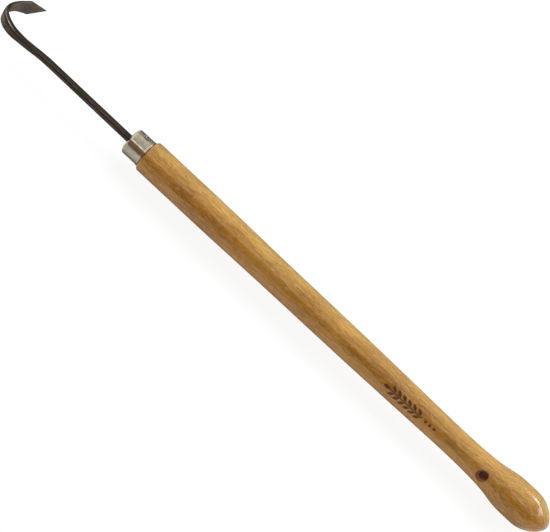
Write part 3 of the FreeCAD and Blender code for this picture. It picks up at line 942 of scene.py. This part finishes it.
    # Painted highlight: a bright line along the worn corner on the bend, which is also made smoother.
    tone = g.mix(g.math("MULTIPLY", worn_highlight, 0.85), tone, (0.6, 0.56, 0.53))
    # Painted shade: faces that turn along Z, the narrow faces, are painted near black; on the leaf this
    # reaches further round its edges.
    dark = g.math("MULTIPLY", narrow, g.mix_value(leaf, g.between(flattened, 0.0, 1.0, 0.35, 0.85), 1.0))
    tone = g.mix(dark, tone, (0.024, 0.018, 0.013))
    tone = g.mix(g.between(scale, 0.52, 0.66, 0.0, 0.6), tone, (0.026, 0.018, 0.013))
    g.feed(shader.inputs["Base Color"], tone)
    shader.inputs["Metallic"].default_value = 0.85
    shader.inputs["Specular Tint"].default_value = (0.35, 0.32, 0.3, 1)
    rough = g.between(scale, 0.3, 0.7, 0.22, 0.4)
    g.feed(shader.inputs["Roughness"], g.math("SUBTRACT", rough, g.math("MULTIPLY", worn_highlight, 0.16)))
    height = g.math("ADD", g.math("MULTIPLY", scale, 0.05), g.math("MULTIPLY", drawn, 0.04))
    g.feed(shader.inputs["Normal"], g.bump(height))
    return material


# ---------------------------------------------------------------- studio

def make_camera():
    camera = bpy.data.objects.new("camera", bpy.data.cameras.new("camera"))
    bpy.context.scene.collection.objects.link(camera)
    bpy.context.scene.camera = camera
    camera.data.lens = CAMERA_LENS
    target = Vector((CAMERA_AIM[0], 0, 0)) + SIDEWAYS * CAMERA_AIM[1]
    right = Vector((-math.cos(HANDLE_TURN), 0, 0)) + SIDEWAYS * math.sin(HANDLE_TURN)
    up = Vector((math.sin(HANDLE_TURN), 0, 0)) + SIDEWAYS * math.cos(HANDLE_TURN)
    turned = Matrix((right, up, VIEW_TOWARDS)).transposed()
    camera.matrix_world = Matrix.Translation(target + VIEW_TOWARDS * CAMERA_DISTANCE) @ turned.to_4x4()


def make_world():
    """Studio around the handle: a dark gap and a bright strip behind the camera, pale walls, dark below."""
    world = bpy.data.worlds.new("studio")
    bpy.context.scene.world = world
    world.use_nodes = True
    g = Graph(world.node_tree)
    background = world.node_tree.nodes["Background"]
    direction = g.node("ShaderNodeTexCoord").outputs["Generated"]
    forward = g.dot(direction, Vector((1, 0, 0)))
    sideways = g.dot(direction, SIDEWAYS)
    towards = g.dot(direction, VIEW_TOWARDS)
    angle = g.math("ARCTAN2", sideways, towards)

    def turned(degrees, full):
        """Rises from 0 to 1 between two angles around the handle, counted from the camera's direction."""
        return g.between(angle, math.radians(degrees), math.radians(full))

    # The light level all around the handle, in degrees from the camera's direction.
    white, dark = Vector((1.0, 0.98, 0.94)), Vector((1.0, 0.74, 0.52))
    levels = (
        (-180, 0.04, white), (-150, 0.1, white), (-130, 0.42, white), (-92, 0.95, white), (-60, 1.0, white),
        (-47, 0.65, white),
        (-39, 0.27, dark), (-18, 0.3, dark), (6, 0.45, dark), (7.5, 3.2, white), (10, 3.2, white),
        (12, 0.75, white), (45, 0.95, white), (80, 1.2, white), (105, 0.62, white), (140, 0.3, white),
        (165, 0.08, white), (180, 0.04, white),
    )
    stops = [((degrees + 180) / 360, colour * level) for degrees, level, colour in levels]
    colour = g.ramp(g.between(angle, -math.pi, math.pi), stops)

    # Behind the object, towards both of its ends, the pale floor is seen.
    floor_seen = g.product(g.between(g.math("ABSOLUTE", forward), 0.3, 0.5), g.between(towards, 0.1, -0.2))
    colour = g.mix(floor_seen, colour, (0.95, 0.93, 0.9))

    # A broad lamp past the blade's end, and a narrow strip beside it.
    lamp = g.product(turned(18, 30), turned(125, 100), g.between(forward, 0.46, 0.6))
    colour = g.mix(lamp, colour, (1.9, 1.83, 1.73))
    strip = g.product(turned(12, 18), turned(30, 24), g.between(forward, 0.28, 0.36),
                      g.between(forward, 0.54, 0.44))
    colour = g.mix(strip, colour, (2.8, 2.7, 2.55))

    # A window behind the butt: a narrow strip that widens as it nears the handle's axis.
    behind = g.product(forward, -1.0)
    nearing = g.math("MAXIMUM", g.math("SUBTRACT", behind, 0.3), 0.0)
    middle = g.math("ADD", g.product(nearing, 0.6), 0.1)
    half = g.math("ADD", g.product(nearing, 0.36), 0.026)
    off = g.math("DIVIDE", g.math("ABSOLUTE", g.math("SUBTRACT", towards, middle)), half)
    window = g.product(g.between(off, 1.3, 0.7), g.between(behind, 0.2, 0.25),
                       g.between(behind, 0.86, 0.72), g.between(sideways, 0.2, 0.3))
    colour = g.mix(window, colour, g.between(behind, 0.34, 0.5, 40.0, 8.0))

    # The camera sees a plain pale backdrop, and dull surfaces are lit by a share of the glow.
    paths = g.node("ShaderNodeLightPath").outputs
    g.feed(background.inputs["Color"], g.mix(paths["Is Camera Ray"], colour, (0.96, 0.96, 0.96)))
    g.feed(background.inputs["Strength"], g.between(paths["Is Diffuse Ray"], 0.0, 1.0, 1.0, DIFFUSE_SHARE))


def make_key():
    """Broad soft light from one side of the handle, which keeps out of reflections."""
    light = bpy.data.lights.new("key", "SUN")
    light.energy = 3.0
    light.angle = math.radians(50)
    lamp = bpy.data.objects.new("key", light)
    bpy.context.scene.collection.objects.link(lamp)
    turn = math.radians(77)     # how far it stands from the camera's direction
    towards = SIDEWAYS * math.sin(turn) + VIEW_TOWARDS * math.cos(turn)
    lamp.rotation_mode = "QUATERNION"
    lamp.rotation_quaternion = towards.to_track_quat("Z", "Y")
    lamp.visible_glossy = False


def make_floor():
    """Pale glowing floor, seen from above only."""
    size = 8.0
    drop = 0.004
    z = cad_low.z - drop
    corners = [(-size, -size, z), (size, -size, z), (size, size, z), (-size, size, z)]
    mesh = bpy.data.meshes.new("floor")
    mesh.from_pydata(corners, [], [(0, 1, 2, 3)])
    floor = bpy.data.objects.new("floor", mesh)
    bpy.context.scene.collection.objects.link(floor)
    floor.visible_glossy = False
    material = bpy.data.materials.new("pale_floor")
    material.use_nodes = True
    material.node_tree.nodes.clear()
    g = Graph(material.node_tree)
    paths = g.node("ShaderNodeLightPath")
    paint = g.node("ShaderNodeBsdfDiffuse")
    paint.inputs["Color"].default_value = (0.08, 0.08, 0.08, 1)
    glow = g.node("ShaderNodeEmission")
    g.feed(glow.inputs["Strength"], g.between(paths.outputs["Is Camera Ray"], 0, 1, 1.0, 0.91))
    lit = g.node("ShaderNodeAddShader")
    g.feed(lit.inputs[0], paint.outputs[0])
    g.feed(lit.inputs[1], glow.outputs[0])
    clear = g.node("ShaderNodeBsdfTransparent")
    side = g.node("ShaderNodeNewGeometry").outputs["Backfacing"]
    mixed = g.node("ShaderNodeMixShader")
    g.feed(mixed.inputs[0], side)
    g.feed(mixed.inputs[1], lit.outputs[0])
    g.feed(mixed.inputs[2], clear.outputs[0])
    g.node("ShaderNodeOutputMaterial", None, Surface=mixed.outputs[0])
    mesh.materials.append(material)


# ---------------------------------------------------------------- putting it together

for make, node, material in (
    (make_handle, "handle", varnished_ash()),
    (make_ferrule, "ferrule", plated_steel()),
    (make_hook, "hook_blade", forged_steel()),
):
    piece = make()
    piece.data.materials.append(material)
    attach(piece, "root")
    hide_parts(node)

make_camera()
make_world()
make_key()
make_floor()
bpy.context.scene.view_settings.view_transform = "Standard"
